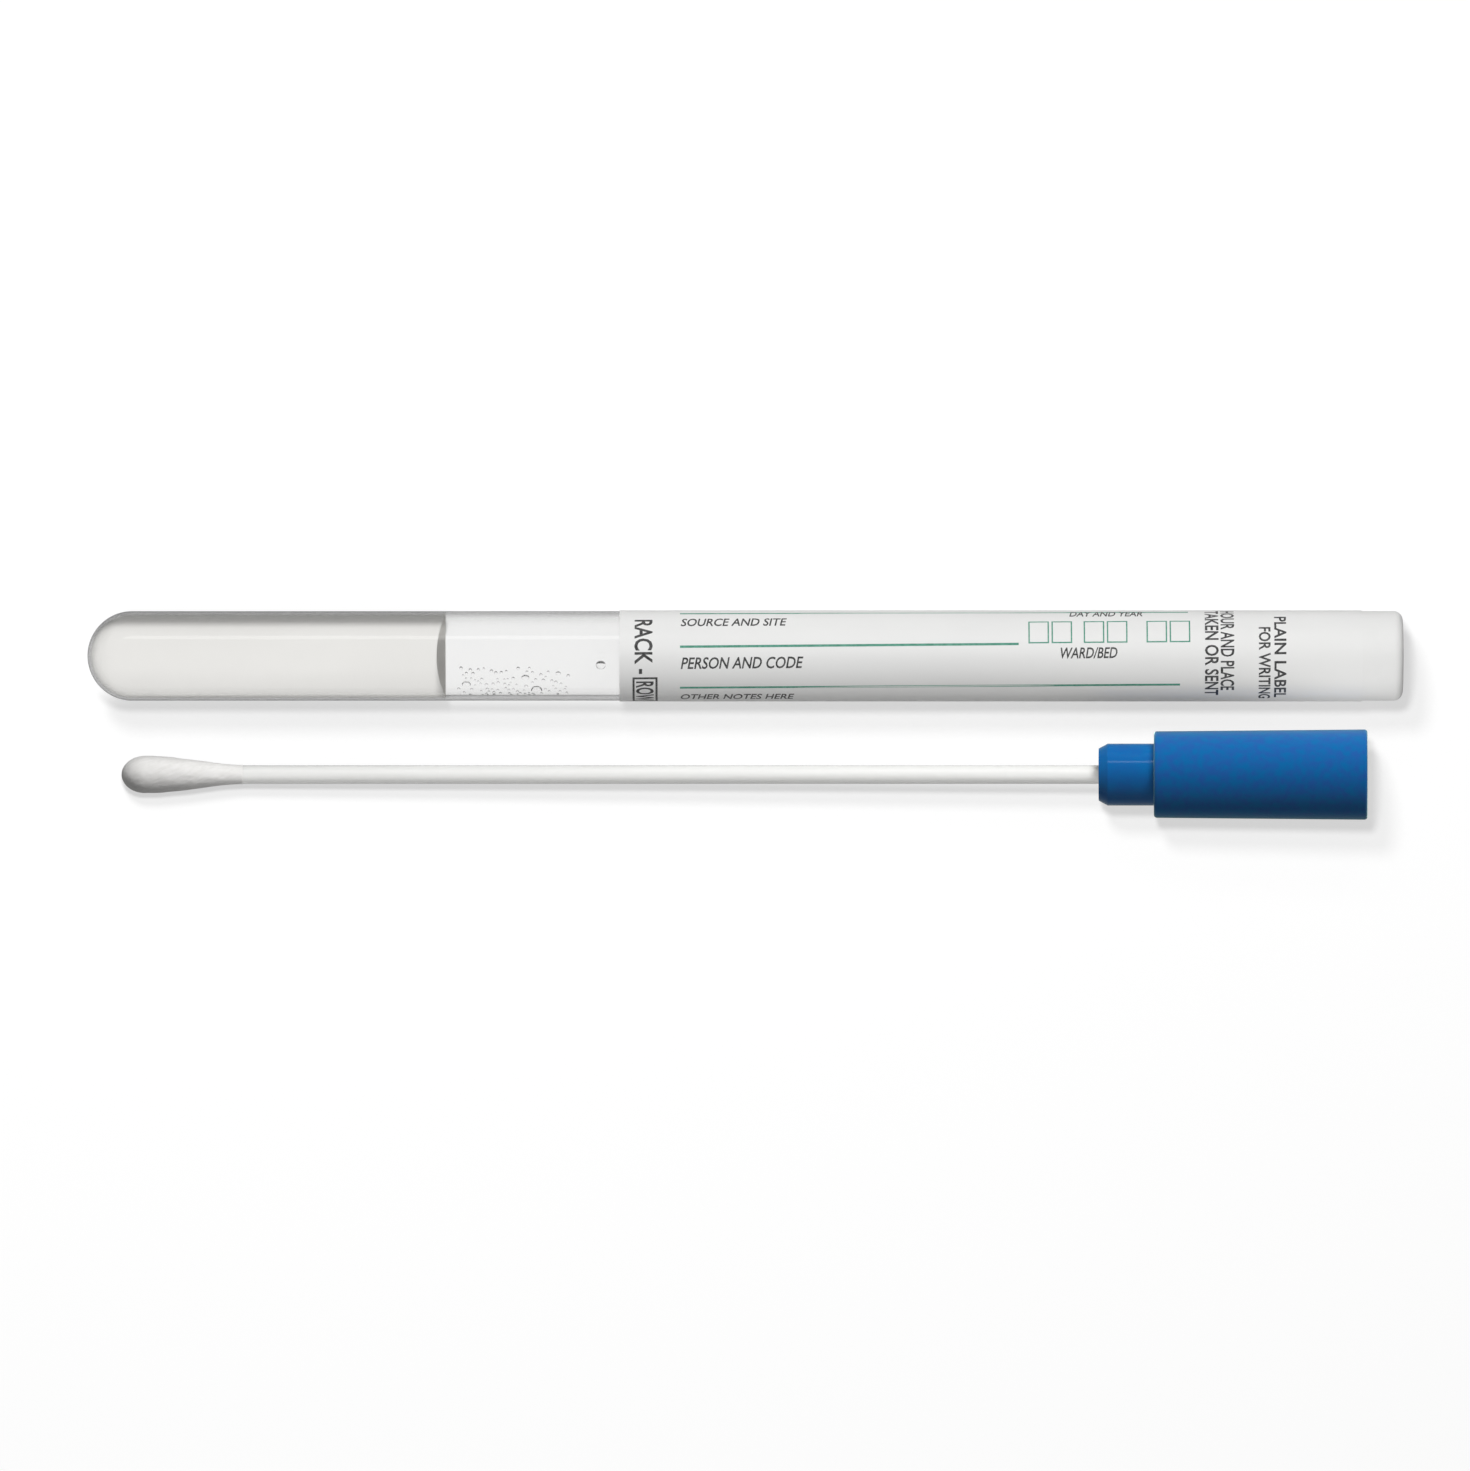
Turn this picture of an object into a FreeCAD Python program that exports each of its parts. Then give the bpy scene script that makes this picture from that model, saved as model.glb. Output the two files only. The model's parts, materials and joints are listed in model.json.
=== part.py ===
"""Specimen swab tube: a round-bottomed clear tube with transport gel, a stopper sealed on by a wrap-round
label, and a cotton swab on a push-in cap that lies beside it.

Row frame, in millimetres: X runs along the tube towards its stopper, Z is up, and the set lies on the plane
z = 0. The origin is the centre of the set's base.
"""

import FreeCAD
import Part
import Sketcher
import math
import os

# Driving dimensions: name, millimetres, what it measures.
SIZES = [
    ("tube_diameter", 12.0, "outside of the clear tube"),
    ("tube_bore", 8.4, "inside of the clear tube"),
    ("tube_length", 147.6, "round end to open mouth"),
    ("bottom_wall", 1.8, "thickness of the round end on the axis"),
    ("gel_length", 46.2, "gel at the wall, from the inside of the round end"),
    ("meniscus_depth", 1.2, "how far the gel's hollow surface dips on the axis"),
    ("plug_clearance", 0.05, "radial gap between a plug and the bore"),
    ("plug_length", 7.4, "plug, from its end to the shoulder"),
    ("plug_lead_length", 1.2, "length of the lead-in chamfer on a plug"),
    ("plug_lead_depth", 0.65, "radial depth of the lead-in chamfer on a plug"),
    ("head_length", 28.6, "grip of the stopper and of the cap, beyond the shoulder"),
    ("stopper_edge", 1.2, "rounding of the stopper's end"),
    ("label_start", 71.3, "round end to the near edge of the label"),
    ("label_length", 99.4, "label, along the tube"),
    ("label_thickness", 0.12, "film of the label"),
    ("label_seam", 3.0, "strip left bare between the label's long edges"),
    ("label_seam_turn", -30.0, "degrees from the side of the tube down to the seam"),
    ("cap_shoulder_diameter", 11.6, "cap at its shoulder"),
    ("cap_end_diameter", 12.1, "cap at its far end"),
    ("cap_edge", 0.4, "rounding of the cap's two rims"),
    ("swab_reach", 138.3, "tip of the bud to the cap's shoulder"),
    ("shaft_diameter", 2.5, "swab stick"),
    ("shaft_length", 150.0, "swab stick, with the stretch inside the cap"),
    ("bud_diameter", 5.1, "bud at its widest"),
    ("bud_length", 16.3, "tip of the bud to the end of its winding"),
    ("bud_cover", 1.2, "fibre beyond the end of the stick"),
    ("bud_tail", 0.15, "winding left on the stick where the bud runs out"),
    ("swab_spacing", 15.9, "tube axis to swab axis"),
    ("swab_setback", 4.5, "tip of the tube to the tip of the bud, along the tube"),
]

# Places and sizes that follow from the ones above.
DERIVED = [
    ("tube_radius", "tube_diameter / 2"),
    ("bore_radius", "tube_bore / 2"),
    ("bore_tip", "bottom_wall"),
    ("bore_round_centre", "bore_tip + bore_radius"),
    ("gel_rim", "bore_tip + gel_length"),
    ("meniscus_radius", "(bore_radius ^ 2 + meniscus_depth ^ 2) / (2 * meniscus_depth)"),
    ("gel_dip", "gel_rim - meniscus_depth"),
    ("meniscus_centre", "gel_dip + meniscus_radius"),
    ("plug_radius", "bore_radius - plug_clearance"),
    ("plug_end_radius", "plug_radius - plug_lead_depth"),
    ("stopper_plug_end", "tube_length - plug_length"),
    ("stopper_plug_full", "stopper_plug_end + plug_lead_length"),
    ("overall_length", "tube_length + head_length"),
    ("stopper_round_centre", "overall_length - stopper_edge"),
    ("stopper_round_radius", "tube_radius - stopper_edge"),
    ("label_end", "label_start + label_length"),
    ("label_radius", "tube_radius + label_thickness"),
    ("label_sweep", "360 - label_seam / tube_radius * 180 / pi"),
    ("shaft_radius", "shaft_diameter / 2"),
    ("shaft_end", "bud_cover + shaft_length"),
    ("bud_radius", "bud_diameter / 2"),
    ("bud_tail_radius", "shaft_radius + bud_tail"),
    ("cap_shoulder_radius", "cap_shoulder_diameter / 2"),
    ("cap_end_radius", "cap_end_diameter / 2"),
    ("cap_plug_end", "swab_reach - plug_length"),
    ("cap_plug_full", "cap_plug_end + plug_lead_length"),
    ("cap_end", "swab_reach + head_length"),
    ("cap_shoulder_round_centre", "swab_reach + cap_edge"),
    ("cap_shoulder_round_radius", "cap_shoulder_radius - cap_edge"),
    ("cap_end_round_centre", "cap_end - cap_edge"),
    ("cap_end_round_radius", "cap_end_radius - cap_edge"),
    ("tube_tip_x", "-overall_length / 2"),
    ("tube_y", "(swab_spacing + cap_end_radius - label_radius) / 2"),
    ("tube_z", "label_radius"),
    ("swab_tip_x", "tube_tip_x + swab_setback"),
    ("swab_y", "tube_y - swab_spacing"),
    ("swab_tilt", "atan((cap_shoulder_radius - bud_radius) / (swab_reach - bud_radius))"),
    ("swab_tip_z", "cap_shoulder_radius * cos(swab_tilt) - swab_reach * sin(swab_tilt)"),
]

doc = FreeCAD.newDocument("SpecimenSwabTube")


def make_sheet():
    """The spreadsheet that every sub-part takes its sizes from."""
    sheet = doc.addObject("Spreadsheet::Sheet", "Sizes")
    row = 0
    for name, millimetres, meaning in SIZES:
        row += 1
        sheet.set(f"A{row}", name)
        sheet.set(f"B{row}", str(millimetres))
        sheet.set(f"C{row}", meaning)
        sheet.setAlias(f"B{row}", name)
    for name, formula in DERIVED:
        row += 1
        sheet.set(f"A{row}", name)
        sheet.set(f"B{row}", "=" + formula)
        sheet.setAlias(f"B{row}", name)
    doc.recompute()
    return sheet


sizes = make_sheet()


def size(name):
    """A sheet value as a plain number; no name means the origin's own zero."""
    return float(sizes.get(name)) if name else 0.0


def corner(x, r, arc_sets=""):
    """A corner of a turned outline, as the sheet names of its place along and out from the axis.

    None lies on the origin's line, and arc_sets names the coordinate that the arc ending here decides.
    """
    return {"x": x, "r": r, "arc_sets": arc_sets}


def pin_point(sketch, geometry, point, place):
    """Hold one point of a sketch at its sheet values."""
    if place["arc_sets"] != "x":
        hold(sketch, "DistanceX", -2, geometry, point, place["x"])
    if place["arc_sets"] != "r":
        hold(sketch, "DistanceY", -1, geometry, point, place["r"])


def hold(sketch, kind, own_axis, geometry, point, name):
    """Hold one coordinate: on the origin's line where it has no name, or else at the named size."""
    if name is None:
        sketch.addConstraint(Sketcher.Constraint("PointOnObject", geometry, point, own_axis))
        return
    index = sketch.addConstraint(Sketcher.Constraint(kind, -1, 1, geometry, point, size(name)))
    sketch.setExpression(f"Constraints[{index}]", f"Sizes.{name}")


def add_edge(sketch, start, end, arc):
    """A straight edge, or an arc about the centre given; returns its number and its two end points."""
    first = FreeCAD.Vector(size(start["x"]), size(start["r"]), 0)
    last = FreeCAD.Vector(size(end["x"]), size(end["r"]), 0)
    if arc is None:
        return sketch.addGeometry(Part.LineSegment(first, last)), 1, 2
    centre = FreeCAD.Vector(size(arc["x"]), size(arc["r"]), 0)
    circle = Part.Circle(centre, FreeCAD.Vector(0, 0, 1), (first - centre).Length)
    turn_start = math.atan2(first.y - centre.y, first.x - centre.x)
    turn_end = math.atan2(last.y - centre.y, last.x - centre.x)
    if arc["clockwise"]:
        return sketch.addGeometry(Part.ArcOfCircle(circle, turn_end, turn_start)), 2, 1
    return sketch.addGeometry(Part.ArcOfCircle(circle, turn_start, turn_end)), 1, 2


def arc_about(x, r, clockwise):
    """An arc's centre, by its sheet names, and which way the outline runs round it."""
    return {"x": x, "r": r, "arc_sets": "", "clockwise": clockwise}


def turned_body(label, outline, sweep=None):
    """A body turned about its own X axis from a closed outline of corners and arcs.

    outline lists corners, with the arc that leads to the next corner, if any, after the corner it starts at.
    """
    corners = [item for item in outline if "clockwise" not in item]
    arcs = {}
    for item in outline:
        if "clockwise" in item:
            arcs[reached] = item
        else:
            reached = corners.index(item)
    body = doc.addObject("PartDesign::Body", label)
    body.Label = label
    plane = [p for p in body.Origin.OriginFeatures if p.Role == "XY_Plane"][0]
    sketch = body.newObject("Sketcher::SketchObject", label + "_outline")
    sketch.AttachmentSupport = (plane, [""])
    sketch.MapMode = "FlatFace"
    edges = []
    for i, start in enumerate(corners):
        edges.append(add_edge(sketch, start, corners[(i + 1) % len(corners)], arcs.get(i)))
    for i, (geometry, first, last) in enumerate(edges):
        following, next_first, _ = edges[(i + 1) % len(edges)]
        sketch.addConstraint(Sketcher.Constraint("Coincident", geometry, last, following, next_first))
        pin_point(sketch, geometry, first, corners[i])
        if i in arcs:
            pin_point(sketch, geometry, 3, arcs[i])
    revolution = body.newObject("PartDesign::Revolution", label + "_turned")
    revolution.Profile = sketch
    revolution.ReferenceAxis = (sketch, ["H_Axis"])
    revolution.Angle = 360
    if sweep:
        revolution.setExpression("Angle", f"Sizes.{sweep}")
    sketch.Visibility = False
    return body


def place_on_tube(body):
    """Set a body, drawn from the tube's outside tip along +X, on the tube's axis."""
    body.setExpression("Placement.Base.x", "Sizes.tube_tip_x")
    body.setExpression("Placement.Base.y", "Sizes.tube_y")
    body.setExpression("Placement.Base.z", "Sizes.tube_z")


def place_on_swab(body):
    """Set a body, drawn from the bud's tip along +X, on the swab's axis.

    The swab lies on its bud and on the rim of the cap's shoulder, so its axis climbs a little to the cap.
    """
    body.setExpression("Placement.Base.x", "Sizes.swab_tip_x")
    body.setExpression("Placement.Base.y", "Sizes.swab_y")
    body.setExpression("Placement.Base.z", "Sizes.swab_tip_z")
    body.Placement.Rotation = FreeCAD.Rotation(FreeCAD.Vector(0, -1, 0), 1)
    body.setExpression("Placement.Rotation.Angle", "Sizes.swab_tilt")


def make_tube():
    """Clear tube with a round closed end and a square-cut open mouth."""
    return turned_body("tube", [
        corner(None, None),
        arc_about("tube_radius", None, clockwise=True),
        corner("tube_radius", "tube_radius", arc_sets="r"),
        corner("tube_length", "tube_radius"),
        corner("tube_length", "bore_radius"),
        corner("bore_round_centre", "bore_radius"),
        arc_about("bore_round_centre", None, clockwise=False),
        corner("bore_tip", None, arc_sets="x"),
    ])


def make_gel():
    """Transport gel that fills the closed end up to a hollow meniscus."""
    return turned_body("transport_gel", [
        corner("bore_tip", None, arc_sets="x"),
        corner("gel_dip", None, arc_sets="x"),
        arc_about("meniscus_centre", None, clockwise=True),
        corner("gel_rim", "bore_radius"),
        corner("bore_round_centre", "bore_radius"),
        arc_about("bore_round_centre", None, clockwise=False),
    ])


def make_stopper():
    """Stopper that seals the mouth: a plug in the bore and a grip flush with the tube."""
    return turned_body("tube_stopper", [
        corner("stopper_plug_end", None),
        corner("stopper_plug_end", "plug_end_radius"),
        corner("stopper_plug_full", "plug_radius"),
        corner("tube_length", "plug_radius"),
        corner("tube_length", "tube_radius"),
        corner("stopper_round_centre", "tube_radius"),
        arc_about("stopper_round_centre", "stopper_round_radius", clockwise=True),
        corner("overall_length", "stopper_round_radius", arc_sets="x"),
        corner("overall_length", None),
    ])


def make_label():
    """Film label wrapped over the tube, the mouth and most of the stopper, short of a full turn."""
    body = turned_body("label", [
        corner("label_start", "tube_radius"),
        corner("label_start", "label_radius"),
        corner("label_end", "label_radius"),
        corner("label_end", "tube_radius"),
    ], sweep="label_sweep")
    body.Placement.Rotation = FreeCAD.Rotation(FreeCAD.Vector(1, 0, 0), 1)
    body.setExpression("Placement.Rotation.Angle", "Sizes.label_seam_turn")
    return body


def make_shaft():
    """Straight swab stick, from under the bud's tip to the bottom of the cap's socket."""
    return turned_body("swab_shaft", [
        corner("bud_cover", None),
        corner("bud_cover", "shaft_radius"),
        corner("shaft_end", "shaft_radius"),
        corner("shaft_end", None),
    ])


def make_bud():
    """Bud wound round the stick's end: a round nose that thins down to the stick."""
    return turned_body("swab_bud", [
        corner(None, None),
        arc_about("bud_radius", None, clockwise=True),
        corner("bud_radius", "bud_radius", arc_sets="r"),
        corner("bud_length", "bud_tail_radius"),
        corner("bud_length", "shaft_radius"),
        corner("bud_cover", "shaft_radius"),
        corner("bud_cover", None),
    ])


def make_cap():
    """Cap of the swab: a plug like the stopper's, a grip that widens a little, and a socket for the stick."""
    return turned_body("swab_cap", [
        corner("cap_plug_end", "shaft_radius"),
        corner("cap_plug_end", "plug_end_radius"),
        corner("cap_plug_full", "plug_radius"),
        corner("swab_reach", "plug_radius"),
        corner("swab_reach", "cap_shoulder_round_radius"),
        arc_about("cap_shoulder_round_centre", "cap_shoulder_round_radius", clockwise=True),
        corner("cap_shoulder_round_centre", "cap_shoulder_radius", arc_sets="r"),
        corner("cap_end_round_centre", "cap_end_radius"),
        arc_about("cap_end_round_centre", "cap_end_round_radius", clockwise=True),
        corner("cap_end", "cap_end_round_radius", arc_sets="x"),
        corner("cap_end", None),
        corner("shaft_end", None),
        corner("shaft_end", "shaft_radius"),
    ])


def check_document():
    """Stop if any object failed to compute or any sub-part isn't a sound solid."""
    for item in doc.Objects:
        if "Invalid" in item.State or "Error" in item.State:
            raise RuntimeError(f"{item.Label} did not compute: {item.State}")
    for body in sub_parts:
        shape = body.Shape
        if shape.isNull() or not shape.isValid() or len(shape.Solids) != 1:
            raise RuntimeError(f"{body.Label} is not one sound solid")


on_tube = [make_tube(), make_gel(), make_stopper(), make_label()]
on_swab = [make_shaft(), make_bud(), make_cap()]
for piece in on_tube:
    place_on_tube(piece)
for piece in on_swab:
    place_on_swab(piece)
sub_parts = on_tube + on_swab
doc.recompute()
check_document()

os.makedirs("parts", exist_ok=True)
for piece in sub_parts:
    piece.Shape.exportStep(f"parts/{piece.Label}.step")
    box = piece.Shape.optimalBoundingBox()
    print(f"{piece.Label}: {piece.Shape.Volume:.1f} mm3, x {box.XMin:.2f} to {box.XMax:.2f}, "
          f"y {box.YMin:.2f} to {box.YMax:.2f}, z {box.ZMin:.3f} to {box.ZMax:.3f}")
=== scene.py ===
"""Specimen swab tube, dressed for looks.

The clear tube holds gel and drops and has a stopper and a printed label. The cotton swab is on its blue cap.
Lengths are in metres. Each piece is built in its own axis frame, with X along its axis from the rounded end
and angles turned from the top towards +Y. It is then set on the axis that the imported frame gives.
"""

import json
import math
import random

import bmesh
import bpy
from mathutils import Matrix, Vector, noise

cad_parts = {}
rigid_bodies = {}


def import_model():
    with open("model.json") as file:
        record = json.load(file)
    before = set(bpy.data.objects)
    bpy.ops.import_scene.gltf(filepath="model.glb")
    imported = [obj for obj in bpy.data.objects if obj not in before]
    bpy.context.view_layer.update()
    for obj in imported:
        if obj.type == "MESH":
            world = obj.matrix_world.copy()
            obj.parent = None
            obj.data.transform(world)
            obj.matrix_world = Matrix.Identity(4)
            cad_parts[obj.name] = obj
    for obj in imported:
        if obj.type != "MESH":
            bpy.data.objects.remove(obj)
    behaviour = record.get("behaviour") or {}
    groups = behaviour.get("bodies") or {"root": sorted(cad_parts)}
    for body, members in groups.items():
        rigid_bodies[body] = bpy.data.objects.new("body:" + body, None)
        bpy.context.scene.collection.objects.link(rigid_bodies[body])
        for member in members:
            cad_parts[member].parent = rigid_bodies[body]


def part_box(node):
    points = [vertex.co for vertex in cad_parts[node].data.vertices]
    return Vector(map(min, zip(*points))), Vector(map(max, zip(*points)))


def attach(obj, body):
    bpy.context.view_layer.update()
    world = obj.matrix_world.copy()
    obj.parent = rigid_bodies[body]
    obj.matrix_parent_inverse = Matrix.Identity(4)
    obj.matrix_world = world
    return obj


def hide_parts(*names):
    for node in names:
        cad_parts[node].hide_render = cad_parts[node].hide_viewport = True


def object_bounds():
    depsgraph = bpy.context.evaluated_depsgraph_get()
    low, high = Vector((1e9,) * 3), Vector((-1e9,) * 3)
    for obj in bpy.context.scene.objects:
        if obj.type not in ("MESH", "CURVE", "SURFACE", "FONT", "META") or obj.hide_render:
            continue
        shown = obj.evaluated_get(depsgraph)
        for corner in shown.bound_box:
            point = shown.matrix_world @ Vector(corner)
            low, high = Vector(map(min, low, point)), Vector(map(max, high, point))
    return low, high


MM = 0.001
ON_AXIS = 1e-7

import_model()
cad_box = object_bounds()

# ---------------------------------------------------------------- places from the frame

tube_low, tube_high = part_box("tube")
gel_low, gel_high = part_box("transport_gel")
stopper_low, stopper_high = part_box("tube_stopper")
label_low, label_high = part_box("label")
shaft_low, shaft_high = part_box("swab_shaft")
bud_low, bud_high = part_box("swab_bud")
cap_low, cap_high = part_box("swab_cap")

tube_radius = (tube_high.z - tube_low.z) / 2
tube_length = tube_high.x - tube_low.x
bore_radius = (gel_high.z - gel_low.z) / 2
bottom_wall = gel_low.x - tube_low.x
bore_centre = bottom_wall + bore_radius
gel_rim = gel_high.x - tube_low.x
stopper_end = stopper_high.x - tube_low.x
label_radius = (label_high.z - label_low.z) / 2
label_start = label_low.x - tube_low.x
label_end = label_high.x - tube_low.x
tube_y = (tube_low.y + tube_high.y) / 2
tube_z = (tube_low.z + tube_high.z) / 2
tube_frame = Matrix.Translation((tube_low.x, tube_y, tube_z))

# The finer mesh of the cap reaches past the box of the coarser CAD mesh by less than this.
CAP_SLACK = 0.003 * MM

shaft_radius = (shaft_high.y - shaft_low.y) / 2
bud_radius = (bud_high.y - bud_low.y) / 2
cap_end_radius = (cap_high.y - cap_low.y) / 2 - CAP_SLACK
swab_rise = shaft_high.z - shaft_low.z - 2 * shaft_radius
swab_tilt = math.atan2(swab_rise, shaft_high.x - shaft_low.x)
bud_cover = 1.2 * MM  # cotton beyond the end of the stick
shaft_foot = Vector((shaft_low.x, (shaft_low.y + shaft_high.y) / 2, shaft_low.z + shaft_radius))
swab_turn = Matrix.Rotation(-swab_tilt, 4, "Y")
swab_frame = Matrix.Translation(shaft_foot) @ swab_turn @ Matrix.Translation((-bud_cover, 0, 0))
shaft_end = (shaft_high.x - shaft_foot.x) / math.cos(swab_tilt) + bud_cover
cap_end = (cap_high.x - shaft_foot.x) / math.cos(swab_tilt) + bud_cover

# Sizes that the frame's boxes don't show. The seam is given in degrees.
MENISCUS_DEPTH = 1.2 * MM
PLUG_LENGTH = 7.4 * MM
PLUG_RADIUS = 4.15 * MM
PLUG_LEAD = (1.2 * MM, 0.65 * MM)
HEAD_LENGTH = 28.6 * MM
RIM_EDGE = 0.25 * MM
STOPPER_EDGE = 1.2 * MM
CAP_SHOULDER_RADIUS = 5.8 * MM
CAP_EDGE = 0.4 * MM
SEAM = (120, 148.6)
GEL_GAP = 0.01 * MM

# Fineness of the turned meshes.
TURNS = 192
SHAFT_TURNS = 64
ROUND_STEPS = 32
MENISCUS_STEPS = 16
STOPPER_STEPS = 10
EDGE_STEPS = 6
BRACE = 0.1 * MM

# Faces get their material by where they lie. The bore's round end and the meniscus reach this share of their
# size, and the cap's plug ends this far before the shoulder. The normal of a straight side has less than this
# along X.
ROUND_SLACK = 1.05
MENISCUS_SLACK = 1.01
SHOULDER_SLACK = 0.01 * MM
STRAIGHT_SIDE = 0.01

# Cotton bud. Its rings crowd towards the tip, and its far end closes a little inside the stick's surface.
BUD_LENGTH = 16.3 * MM
BUD_WIDEST = 3.15 * MM
BUD_TAIL = 0.04 * MM
BUD_TAPER = 0.85
BUD_RINGS = 110
BUD_TURNS = 96
BUD_CROWDING = 1.5
BUD_GRIP = 0.98

# The bud's lumps: helical ridges with a pitch, and noise by its scale along (per metre) and around the stick.
BUD_LUMPS = 0.05 * MM
BUD_PITCH = 9 * MM
BUD_STARTS = 3
BUD_RIDGES = 0.3
BUD_PACKING = 0.8
PACKING_ALONG = 500
PACKING_AROUND = 2.2
PACKING_FINER = 3.1
LUMP_FADE = 3 * MM

# Print. Distances run from the label's left end, and arcs from the top towards +Y. The ink is half sunk in
# the film, and its top stays within the label's CAD radius.
INK = 0.012 * MM
INK_TOP = 0.9 * INK
PRINT_BAND = 0.3 * MM
PRINT_MERGE = 0.001 * MM
PRINT_SLANT = 0.0085
CUT_LIMIT = 1e-8
LINE_WIDTH = 0.33 * MM
LINE_TOP = 7.1 * MM
LINE_PITCH = 5.96 * MM
LINE_SPANS = [(8.1 * MM, 76.1 * MM), (8.1 * MM, 53.4 * MM), (8.1 * MM, 75.0 * MM)]
BOX_PAIRS = (54.7 * MM, 62.1 * MM, 70.5 * MM)
BOX_PITCH = 3.1 * MM
BOX_WIDTH = 2.75 * MM
BOX_HEIGHT = 3.5 * MM
BOX_LOW = 1.2 * MM
BOX_RULE = 0.18 * MM

# Words, each with the distance and the arc of its top left corner, its letter height and its width. The
# letters' slant, weight and merging limits are in the lettering's own units.
CAPTION_SLANT = 0.22
CAPTION_WEIGHT = 0.014
COLUMN_WEIGHT = 0.019
LETTER_STEPS = 3
LETTER_MERGE = 1e-6
SLIVER_AREA = 1e-7
CAPTIONS = [
    ("SOURCE AND SITE", 8.2 * MM, 5.7 * MM, 1.5 * MM, 14.2 * MM),
    ("PERSON AND CODE", 8.2 * MM, -0.3 * MM, 1.6 * MM, 16.4 * MM),
    ("OTHER NOTES HERE", 8.2 * MM, -6.2 * MM, 1.5 * MM, 15.2 * MM),
    ("DAY AND YEAR", 60.2 * MM, 7.3 * MM, 1.5 * MM, 9.8 * MM),
    ("WARD/BED", 59.0 * MM, 0.6 * MM, 1.5 * MM, 7.6 * MM),
]
COLUMNS = [
    ("RACK -", 2.0 * MM, 5.5 * MM, 2.45 * MM, 8.05 * MM),
    ("ROW", 2.2 * MM, -3.7 * MM, 2.4 * MM, 4.5 * MM),
    ("TAKEN OR SENT", 78.3 * MM, 7.6 * MM, 1.85 * MM, 14.6 * MM),
    ("HOUR AND PLACE", 80.4 * MM, 7.6 * MM, 1.85 * MM, 13.5 * MM),
    ("FOR WRITING", 85.5 * MM, 3.4 * MM, 1.6 * MM, 11.4 * MM),
    ("PLAIN LABEL", 87.6 * MM, 5.5 * MM, 1.6 * MM, 13.2 * MM),
]
WORD_FRAME = (1.75 * MM, 5.1 * MM, -8.7 * MM, -3.05 * MM)
WORD_FRAME_RULE = 0.28 * MM

# Share of the lamp light that comes through the clear wall, by its slope from -1 (facing -Y) to 1 (facing
# +Y), where it holds air and where it holds gel.
WALL_PASSES = ((-1, 0.1), (-0.9, 0.1), (-0.8, 1.05), (0.8, 1.08), (1, 1.08))
FILLED_PASSES = (
    (-1, 0.1),
    (-0.82, 0.1),
    (-0.62, 0.9),
    (-0.4, 0.97),
    (-0.15, 1.12),
    (0.378, 1.12),
    (0.44, 0.04),
    (1, 0.04),
)

# What clear plastic lets through, from face-on (0) to edge-on (1), where the way through it is longest.
EDGE_STOPS = ((0, 0.975), (0.25, 0.94), (0.4, 0.82), (0.5, 0.62), (0.64, 0.3), (1, 0.18))

# Condensation: the count of all beads, and for the fine ones the nearest, farthest and likeliest distance
# from the gel's rim, the angles from the top, and the radii.
DROPLET_SEED = 7
DROPLET_TRIES = 5000
DROPLET_COUNT = 88
DROPLET_SPREAD = (1.4 * MM, 18 * MM, 4 * MM)
DROPLET_ANGLES = (-88, -20)
DROPLET_RADII = (0.15 * MM, 0.18 * MM, 0.21 * MM, 0.24 * MM)
DROPLET_SPACING = 0.12 * MM

# A bead's form: its gap to the bore, and as shares of its radius its height, the stretch of the larger ones,
# the middle ring of its base, and how far from its middle its painted shade on the side towards +Y starts.
DROPLET_GAP = 0.004 * MM
DROPLET_HEIGHT = 0.6
DROPLET_STRETCH = 1.25
DROPLET_BASE = 0.6
SMALL_DROPLET = 0.25 * MM
BEAD_SHADE = 0.2
SMALL_BEAD_SHADE = 0.0

# The larger beads: distance from the tube's tip, angle from the top and radius.
LARGE_DROPLETS = [
    (50.8 * MM, -52, 0.47 * MM),
    (58.7 * MM, -38, 0.42 * MM),
    (60.2 * MM, -66, 0.60 * MM),
    (63.1 * MM, -30, 0.28 * MM),
    (68.8 * MM, -15, 0.56 * MM),
]

# ---------------------------------------------------------------- mesh helpers


def arc(x, r, radius, start, end, steps):
    """Points of an arc in an outline, about (x, r), from one angle in degrees to another."""
    points = []
    for i in range(steps + 1):
        angle = math.radians(start + (end - start) * i / steps)
        points.append((x + radius * math.cos(angle), r + radius * math.sin(angle)))
    return points


def finish_mesh(name, mesh_data, placed_on, materials, sharp=25):
    """A smooth-shaded object from a bmesh, set on an axis, with edges sharper than the limit kept crisp."""
    bmesh.ops.recalc_face_normals(mesh_data, faces=mesh_data.faces)
    for face in mesh_data.faces:
        face.smooth = True
    for edge in mesh_data.edges:
        edge.smooth = edge.is_boundary or edge.calc_face_angle(0) < math.radians(sharp)
    mesh_data.transform(placed_on)
    mesh = bpy.data.meshes.new(name)
    mesh_data.to_mesh(mesh)
    mesh_data.free()
    piece = bpy.data.objects.new(name, mesh)
    bpy.context.scene.collection.objects.link(piece)
    for material in materials:
        mesh.materials.append(material)
    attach(piece, "root")
    return piece


def braced(outline):
    """The outline with points added near the ends of its long runs, so that smooth shading stays true."""
    points = []
    for (x0, r0), (x1, r1) in zip(outline, outline[1:] + outline[:1]):
        points.append((x0, r0))
        run = math.hypot(x1 - x0, r1 - r0)
        on_axis = r0 < ON_AXIS and r1 < ON_AXIS
        if run > 4 * BRACE and not on_axis:
            for share in (BRACE / run, 1 - BRACE / run):
                points.append((x0 + (x1 - x0) * share, r0 + (r1 - r0) * share))
    return points


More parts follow.
